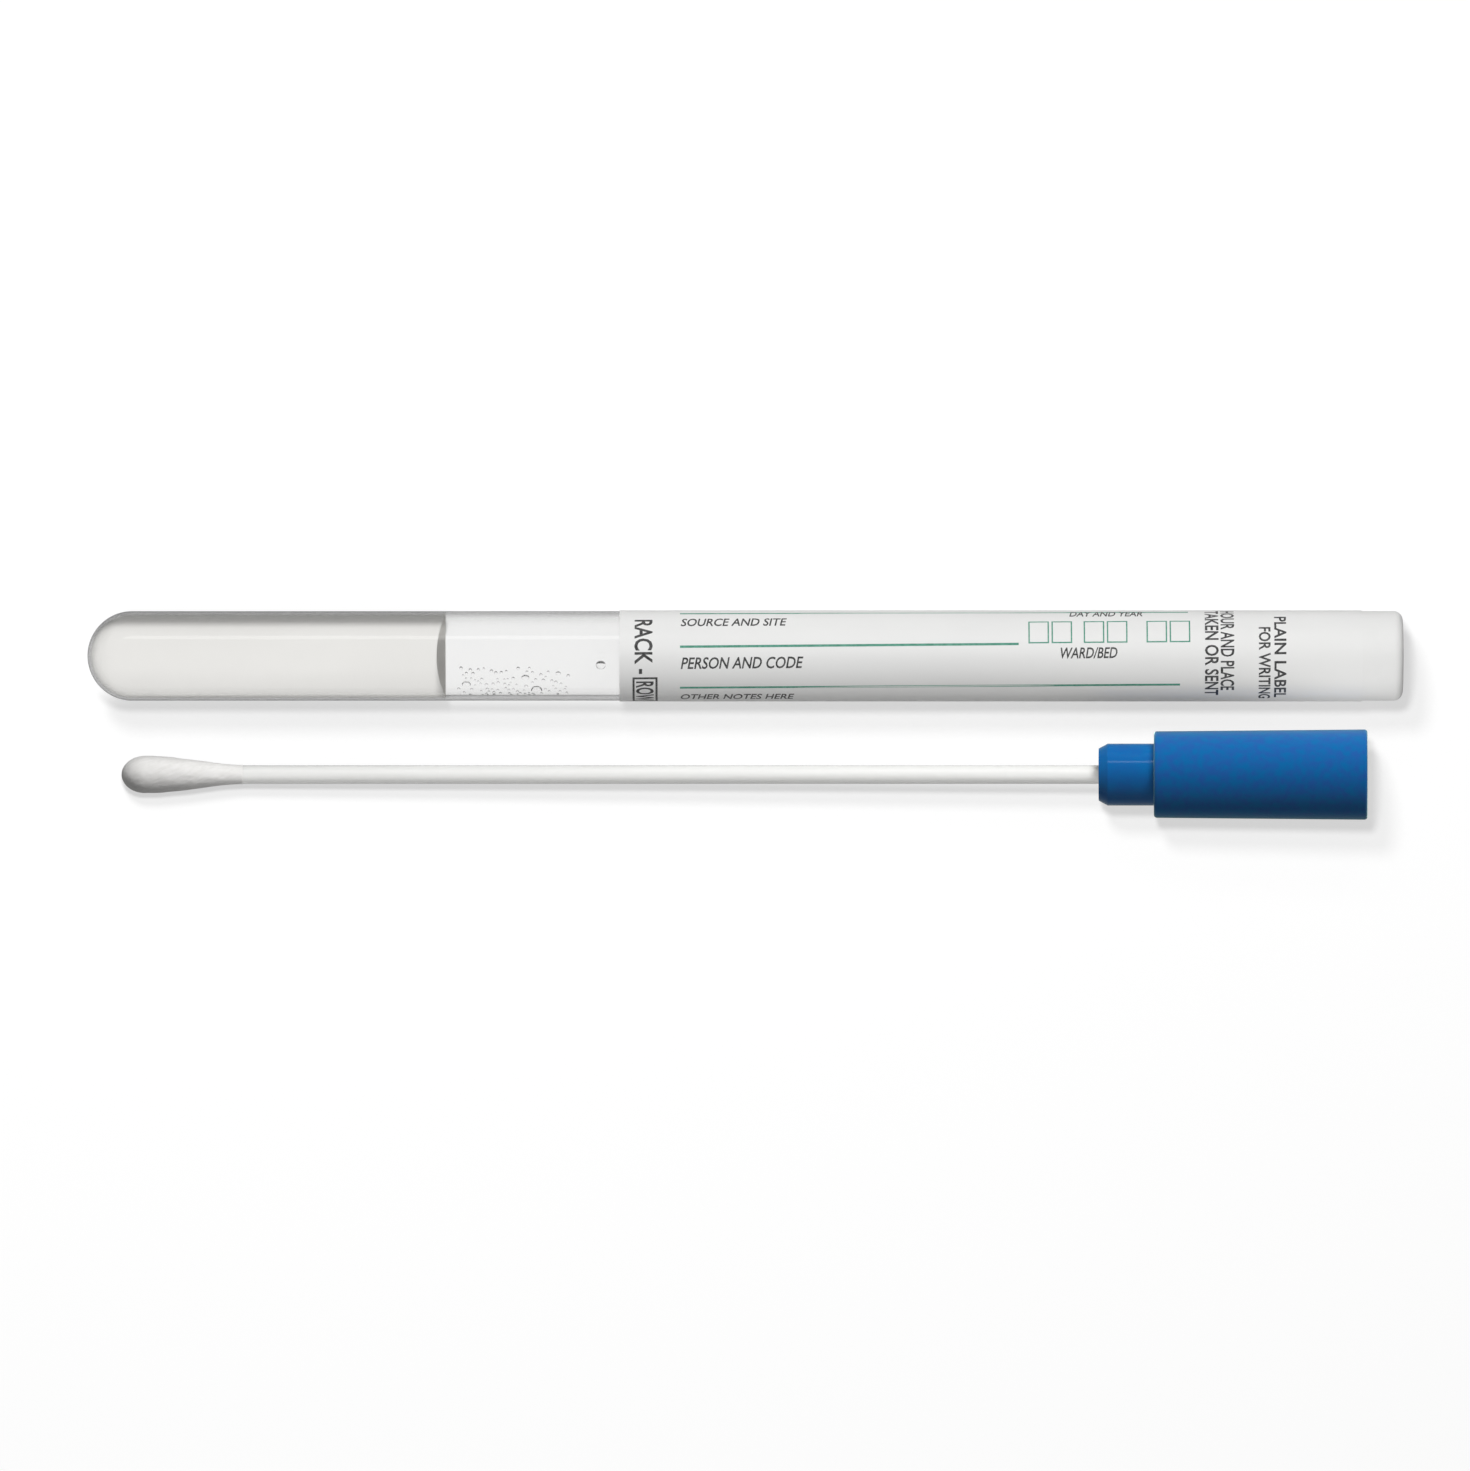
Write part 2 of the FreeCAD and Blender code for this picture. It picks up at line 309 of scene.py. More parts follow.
def lathe(outline, turns=TURNS, sweep=(0, 360)):
    """A bmesh turned about X from a closed outline of (x, r) points, through all or part of a turn."""
    outline = braced(outline)
    whole = sweep[1] - sweep[0] >= 360
    count = turns if whole else turns + 1
    built = bmesh.new()
    rings = []
    for x, r in outline:
        if r < ON_AXIS:
            rings.append([built.verts.new((x, 0, 0))] * count)
            continue
        ring = []
        for i in range(count):
            angle = math.radians(sweep[0] + (sweep[1] - sweep[0]) * i / turns)
            ring.append(built.verts.new((x, r * math.sin(angle), r * math.cos(angle))))
        rings.append(ring)
    for here, there in zip(rings, rings[1:] + rings[:1]):
        for i in range(turns):
            j = (i + 1) % count
            corners = []
            for vertex in (here[i], here[j], there[j], there[i]):
                if vertex not in corners:
                    corners.append(vertex)
            if len(corners) > 2:
                built.faces.new(corners)
    if not whole:
        built.faces.new([ring[0] for ring in rings])
        built.faces.new([ring[-1] for ring in reversed(rings)])
    return built


def take_in(mesh_data, part_data):
    """Add one bmesh to another and free it."""
    part = bpy.data.meshes.new("part")
    part_data.to_mesh(part)
    part_data.free()
    mesh_data.from_mesh(part)
    bpy.data.meshes.remove(part)


# ---------------------------------------------------------------- node helpers


def new_material(name):
    """An empty node material and its tree."""
    material = bpy.data.materials.new(name)
    material.use_nodes = True
    material.node_tree.nodes.clear()
    return material, material.node_tree


def add_node(tree, kind, values=None, **settings):
    """A node with its socket values set, by socket name, and its own settings."""
    node = tree.nodes.new("ShaderNode" + kind)
    for key, value in settings.items():
        setattr(node, key, value)
    for key, value in (values or {}).items():
        node.inputs[key].default_value = value
    return node


def link(tree, source, output, target, socket):
    """Join one node's output to another's input, each by its name or number."""
    tree.links.new(source.outputs[output], target.inputs[socket])


def principled(tree, colour, roughness, **values):
    """A Principled shader wired to the output, with its constants on its own sockets."""
    shader = add_node(tree, "BsdfPrincipled", {"Base Color": (*colour, 1), "Roughness": roughness})
    for key, value in values.items():
        shader.inputs[key.replace("_", " ")].default_value = value
    output = add_node(tree, "OutputMaterial")
    link(tree, shader, "BSDF", output, "Surface")
    return shader


def noise_field(tree, scale, detail=4.0, stretch=None, turn=0.0):
    """Noise in the piece's own coordinates.

    stretch lengthens its grain along each axis, and turn (in degrees) slants that grain about Z.
    """
    place = add_node(tree, "TexCoord")
    grain = add_node(tree, "TexNoise", {"Scale": scale, "Detail": detail})
    if stretch:
        turned = add_node(tree, "Mapping", {"Rotation": (0, 0, math.radians(turn))})
        squeezed = add_node(tree, "Mapping", {"Scale": [1 / s for s in stretch]})
        link(tree, place, "Object", turned, "Vector")
        link(tree, turned, "Vector", squeezed, "Vector")
        link(tree, squeezed, "Vector", grain, "Vector")
    else:
        link(tree, place, "Object", grain, "Vector")
    return grain


def set_ramp(ramp, stops):
    """Fill a colour ramp from (place, colour or grey) stops."""
    while len(ramp.color_ramp.elements) < len(stops):
        ramp.color_ramp.elements.new(1)
    for element, (place, tone) in zip(ramp.color_ramp.elements, stops):
        element.position = place
        element.color = (*tone, 1) if isinstance(tone, tuple) else (tone, tone, tone, 1)


def two_tones(tree, shader, pale, deep, grain):
    """Colour that wanders between two tones with the grain."""
    ramp = add_node(tree, "ValToRGB")
    set_ramp(ramp, ((0.35, deep), (0.65, pale)))
    link(tree, grain, "Fac", ramp, "Fac")
    link(tree, ramp, "Color", shader, "Base Color")


def rough_spread(tree, shader, low, high, grain):
    """Roughness that wanders between two values with the grain."""
    spread = add_node(tree, "MapRange", {"From Min": 0.3, "From Max": 0.7, "To Min": low, "To Max": high})
    link(tree, grain, "Fac", spread, "Value")
    link(tree, spread, "Result", shader, "Roughness")


def bump_from(tree, shader, *grains):
    """Bump from one or more grains, each with its height in metres."""
    below = None
    for grain, height in grains:
        bump = add_node(tree, "Bump", {"Strength": 1.0, "Distance": height})
        link(tree, grain, "Fac", bump, "Height")
        if below:
            link(tree, below, "Normal", bump, "Normal")
        below = bump
    link(tree, below, "Normal", shader, "Normal")


def slope_ramp(tree, stops):
    """Ramp over a surface's slope across the tube, with stops from -1 (facing -Y) to 1 (facing +Y)."""
    place = add_node(tree, "NewGeometry")
    slope = add_node(tree, "SeparateXYZ")
    shift = add_node(tree, "MapRange", {"From Min": -1})
    ramp = add_node(tree, "ValToRGB")
    set_ramp(ramp, [((slant + 1) / 2, tone) for slant, tone in stops])
    link(tree, place, "Normal", slope, "Vector")
    link(tree, slope, "Y", shift, "Value")
    link(tree, shift, "Result", ramp, "Fac")
    return place, ramp


# ---------------------------------------------------------------- materials

# Refraction. The bore and the meniscus bend light less than plastic and gel do in air, for the look of the
# photographed ones.
PLASTIC_INDEX = 1.5
GEL_INDEX = 1.34
WATER_INDEX = 1.333
BORE_INDEX = 1.2
MENISCUS_INDEX = 1.1

# Grain of the materials, as noise per metre, and the height of their bump.
RIPPLE_SCALE = 180
RIPPLE_HEIGHT = 0.006 * MM
BEAD_SKIN_SCALE = 1500
BEAD_SKIN_HEIGHT = 0.004 * MM
MOULDED_HEIGHT = 0.004 * MM
FILM_HEIGHT = 0.002 * MM
INK_HEIGHT = 0.001 * MM
DRAWN_HEIGHT = 0.003 * MM
FIBRE_HEIGHT = 0.05 * MM
FUZZ_HEIGHT = 0.015 * MM


def lamp_light_passes(tree, seen, stops=None):
    """Mix a shader with a Transparent one for the rays that carry lamp light, which clear plastic would lose.

    A round wall gathers that light under its middle and keeps it from its flanks. stops give the share that
    comes through the wall from below, by its slope there.
    """
    path = add_node(tree, "LightPath")
    either = add_node(tree, "Math", operation="MAXIMUM")
    through = add_node(tree, "BsdfTransparent")
    mix = add_node(tree, "MixShader")
    output = add_node(tree, "OutputMaterial")
    if stops:
        place, ramp = slope_ramp(tree, stops)
        from_below = add_node(tree, "MixRGB", {"Color2": (1, 1, 1, 1)})
        link(tree, place, "Backfacing", from_below, "Fac")
        link(tree, ramp, "Color", from_below, "Color1")
        link(tree, from_below, "Color", through, "Color")
    link(tree, path, "Is Shadow Ray", either, 0)
    link(tree, path, "Is Diffuse Ray", either, 1)
    link(tree, either, 0, mix, "Fac")
    link(tree, seen, 0, mix, 1)
    link(tree, through, "BSDF", mix, 2)
    link(tree, mix, "Shader", output, "Surface")


def glass_shader(tree, tint, index):
    """A smooth Principled shader that lets all light through, with its tint and refraction."""
    values = {"Base Color": (*tint, 1), "Roughness": 0.0, "IOR": index, "Transmission Weight": 1.0}
    return add_node(tree, "BsdfPrincipled", values)


def clear_plastic(name, index, stops=None, edges=None):
    """Clear plastic wall with a faint moulded ripple.

    index is its refraction against what lies beyond the face, stops is for lamp_light_passes, and edges gives
    what it lets through from face-on to edge-on.
    """
    material, tree = new_material(name)
    glass = glass_shader(tree, (0.985, 0.985, 0.98), index)
    if edges:
        weight = add_node(tree, "LayerWeight", {"Blend": 0.5})
        ramp = add_node(tree, "ValToRGB")
        set_ramp(ramp, edges)
        link(tree, weight, "Facing", ramp, "Fac")
        link(tree, ramp, "Color", glass, "Base Color")
    ripple = noise_field(tree, RIPPLE_SCALE, 2.0, stretch=(5, 1, 1))
    bump_from(tree, glass, (ripple, RIPPLE_HEIGHT))
    lamp_light_passes(tree, glass, stops)
    return material


def bead_water(name, tint):
    """Water bead on the bore, with a slightly uneven skin."""
    material, tree = new_material(name)
    glass = glass_shader(tree, tint, WATER_INDEX)
    skin = noise_field(tree, BEAD_SKIN_SCALE, 2.0)
    bump_from(tree, glass, (skin, BEAD_SKIN_HEIGHT))
    lamp_light_passes(tree, glass)
    return material


def gel_inside(name):
    """The gel's side where it wets the wall: nearly clear, with a little uneven haze."""
    material, tree = new_material(name)
    clear = add_node(tree, "BsdfTransparent", {"Color": (0.985, 0.98, 0.968, 1)})
    haze = add_node(tree, "BsdfTranslucent", {"Color": (0.8, 0.79, 0.77, 1)})
    mix = add_node(tree, "MixShader")
    cloud = noise_field(tree, 130, 3.0, stretch=(3, 1, 1))
    share = add_node(tree, "MapRange", {"From Min": 0.3, "From Max": 0.7, "To Min": 0.03, "To Max": 0.06})
    link(tree, cloud, "Fac", share, "Value")
    link(tree, share, "Result", mix, "Fac")
    link(tree, clear, "BSDF", mix, 1)
    link(tree, haze, "BSDF", mix, 2)
    lamp_light_passes(tree, mix)
    return material


def moulded(name, pale, deep, roughness, grain_size, **values):
    """Moulded plastic: two near tones, wandering gloss and a fine moulded grain."""
    material, tree = new_material(name)
    shader = principled(tree, pale, roughness[0], IOR=PLASTIC_INDEX, **values)
    clouds = noise_field(tree, 1 / (6 * grain_size), 5.0)
    grain = noise_field(tree, 1 / grain_size, 3.0)
    two_tones(tree, shader, pale, deep, clouds)
    rough_spread(tree, shader, *roughness, clouds)
    bump_from(tree, shader, (grain, MOULDED_HEIGHT))
    return material


def label_film(name):
    """White label film: satin, with faint mottling and a paper-like tooth."""
    material, tree = new_material(name)
    shader = principled(tree, (0.86, 0.86, 0.85), 0.35, IOR=PLASTIC_INDEX)
    clouds = noise_field(tree, 90, 6.0, stretch=(2, 1, 1))
    tooth = noise_field(tree, 5000, 4.0)
    two_tones(tree, shader, (0.87, 0.87, 0.86), (0.845, 0.845, 0.837), clouds)
    rough_spread(tree, shader, 0.32, 0.42, clouds)
    bump_from(tree, shader, (tooth, FILM_HEIGHT))
    return material


def printed_ink(name, full, thin):
    """Ink with the uneven density of a cheap label print."""
    material, tree = new_material(name)
    shader = principled(tree, full, 0.45, IOR=PLASTIC_INDEX)
    density = noise_field(tree, 2600, 5.0)
    two_tones(tree, shader, thin, full, density)
    bump_from(tree, shader, (density, INK_HEIGHT))
    return material


def stick_plastic(name):
    """Drawn white plastic: faint marks along its length, and light that spreads under the skin."""
    material, tree = new_material(name)
    shader = principled(tree, (0.86, 0.86, 0.84), 0.2, IOR=PLASTIC_INDEX, Subsurface_Weight=1.0,
                        Subsurface_Radius=(1, 1, 1), Subsurface_Scale=0.6 * MM)
    drawn = noise_field(tree, 1500, 4.0, stretch=(60, 1, 1))
    two_tones(tree, shader, (0.87, 0.87, 0.855), (0.84, 0.84, 0.825), drawn)
    rough_spread(tree, shader, 0.16, 0.24, drawn)
    bump_from(tree, shader, (drawn, DRAWN_HEIGHT))
    return material


def wound_cotton(name):
    """Cotton wound on the stick: slanting fibres, fine fuzz and a soft sheen."""
    material, tree = new_material(name)
    shader = principled(tree, (0.92, 0.91, 0.89), 0.95, IOR=1.45, Sheen_Weight=0.25, Sheen_Roughness=0.6,
                        Specular_IOR_Level=0.1)
    fibres = noise_field(tree, 2600, 4.0, stretch=(7, 1, 1), turn=-28)
    fuzz = noise_field(tree, 9000, 3.0)
    two_tones(tree, shader, (0.955, 0.945, 0.93), (0.89, 0.88, 0.86), fibres)
    bump_from(tree, shader, (fibres, FIBRE_HEIGHT), (fuzz, FUZZ_HEIGHT))
    return material


wall_outside = clear_plastic("clear_wall", PLASTIC_INDEX, WALL_PASSES, EDGE_STOPS)
wall_round_gel = clear_plastic("clear_wall_round_gel", PLASTIC_INDEX, FILLED_PASSES, EDGE_STOPS)
wall_to_air = clear_plastic("clear_bore", BORE_INDEX)
wall_to_gel = clear_plastic("clear_bore_on_gel", PLASTIC_INDEX / GEL_INDEX)
meniscus_skin = clear_plastic("gel_surface", MENISCUS_INDEX)
gel_side = gel_inside("gel_body")
water_bright = bead_water("water", (0.99, 0.99, 0.99))
# Near-black water for the beads' side towards +Y: painted shade, where a bead would bend the lamps' light
# away.
water_painted_shade = bead_water("water_painted_shade", (0.02, 0.02, 0.02))
ink_green = printed_ink("ink_green", (0.06, 0.26, 0.18), (0.12, 0.36, 0.27))
ink_black = printed_ink("ink_black", (0.02, 0.02, 0.02), (0.09, 0.09, 0.09))
white_plastic = moulded("stopper_white", (0.865, 0.865, 0.855), (0.85, 0.85, 0.84), (0.36, 0.44), 0.5 * MM)
label_white = label_film("label_white")
stick_white = stick_plastic("stick_white")
cotton_white = wound_cotton("cotton_white")
blue_sheen = {"Sheen_Roughness": 0.4, "Sheen_Tint": (0.6, 1, 0.85, 1)}
cap_blue = moulded("cap_blue", (0.002, 0.109, 0.31), (0.012, 0.082, 0.3), (0.45, 0.6), 0.16 * MM,
                   Specular_IOR_Level=0.02, Sheen_Weight=0.9, **blue_sheen)
plug_blue = moulded("plug_blue", (0.001, 0.108, 0.325), (0.005, 0.092, 0.31), (0.1, 0.14), 0.3 * MM,
                    Specular_IOR_Level=0.1, Sheen_Weight=0.4, **blue_sheen)

# ---------------------------------------------------------------- pieces


def make_tube():
    """Clear tube, with its walls split where the gel ends."""
    straight_end = tube_length - RIM_EDGE
    outline = arc(tube_radius, 0, tube_radius, 180, 90, ROUND_STEPS)
    outline += [(gel_rim, tube_radius)]
    outline += arc(straight_end, tube_radius - RIM_EDGE, RIM_EDGE, 90, 0, EDGE_STEPS)
    outline += arc(straight_end, bore_radius + RIM_EDGE, RIM_EDGE, 0, -90, EDGE_STEPS)
    outline += [(gel_rim, bore_radius)]
    outline += arc(bore_centre, 0, bore_radius, 90, 180, ROUND_STEPS)
    built = lathe(outline)
    finishes = [wall_outside, wall_to_air, wall_round_gel, wall_to_gel]
    middle_radius = (bore_radius + tube_radius) / 2
    for face in built.faces:
        middle = face.calc_center_median()
        on_bore = middle.x > bore_centre and math.hypot(middle.y, middle.z) < middle_radius
        in_round = (middle - Vector((bore_centre, 0, 0))).length < bore_radius * ROUND_SLACK
        wet = middle.x < gel_rim
        if on_bore or in_round:
            face.material_index = 3 if wet else 1
        else:
            face.material_index = 2 if wet else 0
    piece = finish_mesh("clear_tube", built, tube_frame, finishes)
    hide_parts("tube")


def make_gel():
    """Gel with a hollow meniscus, a hair's breadth inside the bore."""
    radius = bore_radius - GEL_GAP
    curve = (radius ** 2 + MENISCUS_DEPTH ** 2) / (2 * MENISCUS_DEPTH)
    half = math.degrees(math.asin(radius / curve))
    outline = arc(bore_centre, 0, radius, 180, 90, ROUND_STEPS)
    outline += arc(gel_rim - MENISCUS_DEPTH + curve, 0, curve, 180 - half, 180, MENISCUS_STEPS)
    built = lathe(outline)
    meniscus_start = gel_rim - MENISCUS_SLACK * MENISCUS_DEPTH
    for face in built.faces:
        near_surface = face.calc_center_median().x > meniscus_start
        straight_side = abs(face.normal.x) < STRAIGHT_SIDE
        face.material_index = 1 if near_surface and not straight_side else 0
    piece = finish_mesh("gel", built, tube_frame, [gel_side, meniscus_skin])
    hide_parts("transport_gel")


def plug_outline(start, shoulder):
    """The end and side of a plug, from its lead-in chamfer to the shoulder."""
    length, depth = PLUG_LEAD
    return [(start, PLUG_RADIUS - depth), (start + length, PLUG_RADIUS), (shoulder, PLUG_RADIUS)]


def make_stopper():
    """White stopper, with its plug in the tube."""
    start = tube_length - PLUG_LENGTH
    outline = [(start, 0)] + plug_outline(start, tube_length)
    outline += [(tube_length, tube_radius)]
    outline += arc(stopper_end - STOPPER_EDGE, tube_radius - STOPPER_EDGE, STOPPER_EDGE, 90, 0, STOPPER_STEPS)
    outline += [(stopper_end, 0)]
    piece = finish_mesh("stopper", lathe(outline), tube_frame, [white_plastic])
    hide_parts("tube_stopper")


def make_label():
    """Label film, open at its seam. Its face is lower than the CAD's by what the ink stands proud."""
    outer = label_radius - INK
    outline = [(label_start, tube_radius), (label_start, outer), (label_end, outer), (label_end, tube_radius)]
    built = lathe(outline, TURNS, (SEAM[1] - 360, SEAM[0]))
    piece = finish_mesh("label_wrap", built, tube_frame, [label_white])
    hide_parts("label")


def make_shaft():
    """White stick, from inside the bud to the end of the cap's socket."""
    outline = [(bud_cover, 0), (bud_cover, shaft_radius), (shaft_end, shaft_radius), (shaft_end, 0)]
    piece = finish_mesh("stick", lathe(outline, SHAFT_TURNS), swab_frame, [stick_white])
    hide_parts("swab_shaft")


def make_cap():
    """Blue cap that widens towards its end, with a glossier plug and a socket for the stick."""
    shoulder = cap_end - HEAD_LENGTH
    start = shoulder - PLUG_LENGTH
    outline = [(start, shaft_radius)] + plug_outline(start, shoulder)
    outline += arc(shoulder + CAP_EDGE, CAP_SHOULDER_RADIUS - CAP_EDGE, CAP_EDGE, 180, 90, EDGE_STEPS)
    outline += arc(cap_end - CAP_EDGE, cap_end_radius - CAP_EDGE, CAP_EDGE, 90, 0, EDGE_STEPS)
    outline += [(cap_end, 0), (shaft_end, 0), (shaft_end, shaft_radius)]
    built = lathe(outline)
    plug_end = shoulder - SHOULDER_SLACK
    for face in built.faces:
        face.material_index = 1 if face.calc_center_median().x < plug_end else 0
    piece = finish_mesh("cap", built, swab_frame, [cap_blue, plug_blue])
    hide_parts("swab_cap")


def bud_profile(x):
    """Radius of the cotton at a distance from its tip: an egg-shaped nose, then a long taper to the stick."""
    if x < BUD_WIDEST:
        reach = 1 - x / BUD_WIDEST
        return (bud_radius - BUD_LUMPS) * math.sqrt(max(0, 1 - reach ** 2))
    along = min(1, (x - BUD_WIDEST) / (BUD_LENGTH - BUD_WIDEST))
    taper = ((1 + math.cos(math.pi * along)) / 2) ** BUD_TAPER
    tail = shaft_radius + BUD_TAIL
    return tail + (bud_radius - BUD_LUMPS - tail) * taper


def bud_lump(x, angle):
    """Height of the wound cotton over its plain form: soft helical ridges and uneven packing."""
    wind = math.sin(BUD_STARTS * angle - x / BUD_PITCH * math.tau)
    around = (PACKING_AROUND * math.cos(angle), PACKING_AROUND * math.sin(angle))
    place = Vector((x * PACKING_ALONG, *around))
    packing = noise.noise(place) + 0.5 * noise.noise(place * PACKING_FINER)
    fade = min(1, x / BUD_WIDEST) * min(1, (BUD_LENGTH - x) / LUMP_FADE)
    return BUD_LUMPS * max(-1, min(1, BUD_RIDGES * wind + BUD_PACKING * packing)) * max(0, fade)


def make_bud():
    """Cotton wound round the end of the stick."""
    built = bmesh.new()

    def ring_at(x, radius_at):
        ring = []
        for j in range(BUD_TURNS):
            angle = math.tau * j / BUD_TURNS
            r = radius_at(x, angle)
            ring.append(built.verts.new((x, r * math.sin(angle), r * math.cos(angle))))
        return ring

    nose = built.verts.new((0, 0, 0))
    grid = []
    for i in range(1, BUD_RINGS + 1):
        x = BUD_LENGTH * (i / BUD_RINGS) ** BUD_CROWDING
        grid.append(ring_at(x, lambda x, angle: bud_profile(x) + bud_lump(x, angle)))
    for x in (BUD_LENGTH, bud_cover):
        grid.append(ring_at(x, lambda x, angle: shaft_radius * BUD_GRIP))
    base = built.verts.new((bud_cover, 0, 0))
    for j in range(BUD_TURNS):
        k = (j + 1) % BUD_TURNS
        built.faces.new((nose, grid[0][j], grid[0][k]))
        built.faces.new((base, grid[-1][k], grid[-1][j]))
        for here, there in zip(grid, grid[1:]):
            built.faces.new((here[j], there[j], there[k], here[k]))
    piece = finish_mesh("bud", built, swab_frame, [cotton_white], sharp=80)
    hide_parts("swab_bud")


def bend_print(name, mesh_data, material):
    """Wrap flat print round the label, a little askew.

    Its x is the distance from the label's left end, its y the arc from the top towards +Y and its z the
    height over the film.
    """
    for vertex in mesh_data.verts:
        u, v, height = vertex.co
        angle = (v + PRINT_SLANT * u) / label_radius
        r = label_radius - INK + height
        vertex.co = (label_start + u, r * math.sin(angle), r * math.cos(angle))
    piece = finish_mesh(name, mesh_data, tube_frame, [material], sharp=60)


def cut_for_bending(mesh_data):
    """Cut flat print into narrow bands across y, so that it follows the curve."""
    low = min(v.co.y for v in mesh_data.verts)
    high = max(v.co.y for v in mesh_data.verts)
    count = max(1, math.ceil((high - low) / PRINT_BAND))
    for i in range(1, count):
        everything = mesh_data.verts[:] + mesh_data.edges[:] + mesh_data.faces[:]
        cut = low + (high - low) * i / count
        bmesh.ops.bisect_plane(mesh_data, geom=everything, dist=CUT_LIMIT, plane_co=(0, cut, 0),
                               plane_no=(0, 1, 0))


def add_bar(mesh_data, u0, u1, v0, v1):
    """A thin slab of ink between two distances along and two arcs."""
    corners = ((u0, v0), (u1, v0), (u1, v1), (u0, v1))
    low, high = [[mesh_data.verts.new((u, v, height)) for u, v in corners] for height in (-INK, INK_TOP)]
    mesh_data.faces.new(reversed(low))
    mesh_data.faces.new(high)
    for i in range(4):
        j = (i + 1) % 4
        mesh_data.faces.new((low[i], low[j], high[j], high[i]))


def add_frame(mesh_data, u0, u1, v0, v1, rule):
    """A rectangular frame of ink, with its outer edges at two distances along and two arcs."""
    loops = []
    for inset in (0, rule):
        low_u, high_u = u0 + inset, u1 - inset
        low_v, high_v = v0 + inset, v1 - inset
        corners = ((low_u, low_v), (high_u, low_v), (high_u, high_v), (low_u, high_v))
        for height in (-INK, INK_TOP):
            loops.append([mesh_data.verts.new((u, v, height)) for u, v in corners])
    outer_low, outer_high, inner_low, inner_high = loops
    around = (outer_low, outer_high, inner_high, inner_low, outer_low)
    for here, there in zip(around, around[1:]):
        for i in range(4):
            j = (i + 1) % 4
            mesh_data.faces.new((here[i], here[j], there[j], there[i]))


def make_ruling():
    """The label's green writing lines and its six boxes for figures."""
    built = bmesh.new()
    half = LINE_WIDTH / 2
    for row, (start, end) in enumerate(LINE_SPANS):
        v = LINE_TOP - row * LINE_PITCH
        add_bar(built, start, end, v - half, v + half)
    for start in BOX_PAIRS:
        for side in range(2):
            u = start + side * BOX_PITCH
            add_frame(built, u, u + BOX_WIDTH, BOX_LOW, BOX_LOW + BOX_HEIGHT, BOX_RULE)
    cut_for_bending(built)
    bend_print("label_ruling", built, ink_green)


def join_slivers(mesh_data):
    """Join each face of no width to its neighbour, across its longest edge."""
    seams = []
    for face in mesh_data.faces:
        longest = max(face.edges, key=lambda edge: edge.calc_length())
        if face.calc_area() < SLIVER_AREA and longest not in seams:
            seams.append(longest)
    bmesh.ops.dissolve_edges(mesh_data, edges=seams)


def letter_faces(words, slant, weight):
    """Flat lettering as a bmesh of clean faces, in the lettering's own units."""
    curve = bpy.data.curves.new("words", "FONT")
    curve.body = words
    curve.resolution_u = LETTER_STEPS
    curve.shear = slant
    curve.offset = weight
    holder = bpy.data.objects.new("words", curve)
    bpy.context.scene.collection.objects.link(holder)
    shape = bpy.data.meshes.new_from_object(holder.evaluated_get(bpy.context.evaluated_depsgraph_get()))
    bpy.data.objects.remove(holder)
    bpy.data.curves.remove(curve)
    flat = bmesh.new()
    flat.from_mesh(shape)
    bpy.data.meshes.remove(shape)
    bmesh.ops.remove_doubles(flat, verts=flat.verts, dist=LETTER_MERGE)
    join_slivers(flat)
    return flat


def thicken(flat):
    """Turn flat print into closed slabs of ink."""
    outer = bmesh.ops.extrude_face_region(flat, geom=flat.faces[:])
    for item in outer["geom"]:
        if isinstance(item, bmesh.types.BMVert):
            item.co.z = INK_TOP
    for vertex in flat.verts:
        if vertex.co.z == 0:
            vertex.co.z = -INK


def add_words(mesh_data, words, u, v, height, width, slant, weight, turned=False):
    """Plain lettering, stretched to a given letter height and total width, from its top left corner.

    turned runs it from the top towards -Y, with the letters' tops towards +X.
    """
    flat = letter_faces(words, slant, weight)
    low_x = min(p.co.x for p in flat.verts)
    high_x = max(p.co.x for p in flat.verts)
    low_y = min(p.co.y for p in flat.verts)
    high_y = max(p.co.y for p in flat.verts)
    for vertex in flat.verts:
        along = (vertex.co.x - low_x) / (high_x - low_x) * width
        up = (vertex.co.y - high_y) / (high_y - low_y) * height
        if turned:
            vertex.co = (u + height + up, v - along, 0)
        else:
            vertex.co = (u + along, v + up, 0)
    cut_for_bending(flat)
    bmesh.ops.remove_doubles(flat, verts=flat.verts, dist=PRINT_MERGE)
    thicken(flat)
    take_in(mesh_data, flat)


def make_captions():
    """Generic captions for the writing lines, and more plain words where the label's ends hold names."""
    built = bmesh.new()
    for words, u, v, height, width in CAPTIONS:
        add_words(built, words, u, v, height, width, CAPTION_SLANT, CAPTION_WEIGHT)
    for words, u, v, height, width in COLUMNS:
        add_words(built, words, u, v, height, width, 0, COLUMN_WEIGHT, turned=True)
    box = bmesh.new()
    add_frame(box, *WORD_FRAME, WORD_FRAME_RULE)
    cut_for_bending(box)
    take_in(built, box)
    bend_print("label_captions", built, ink_black)


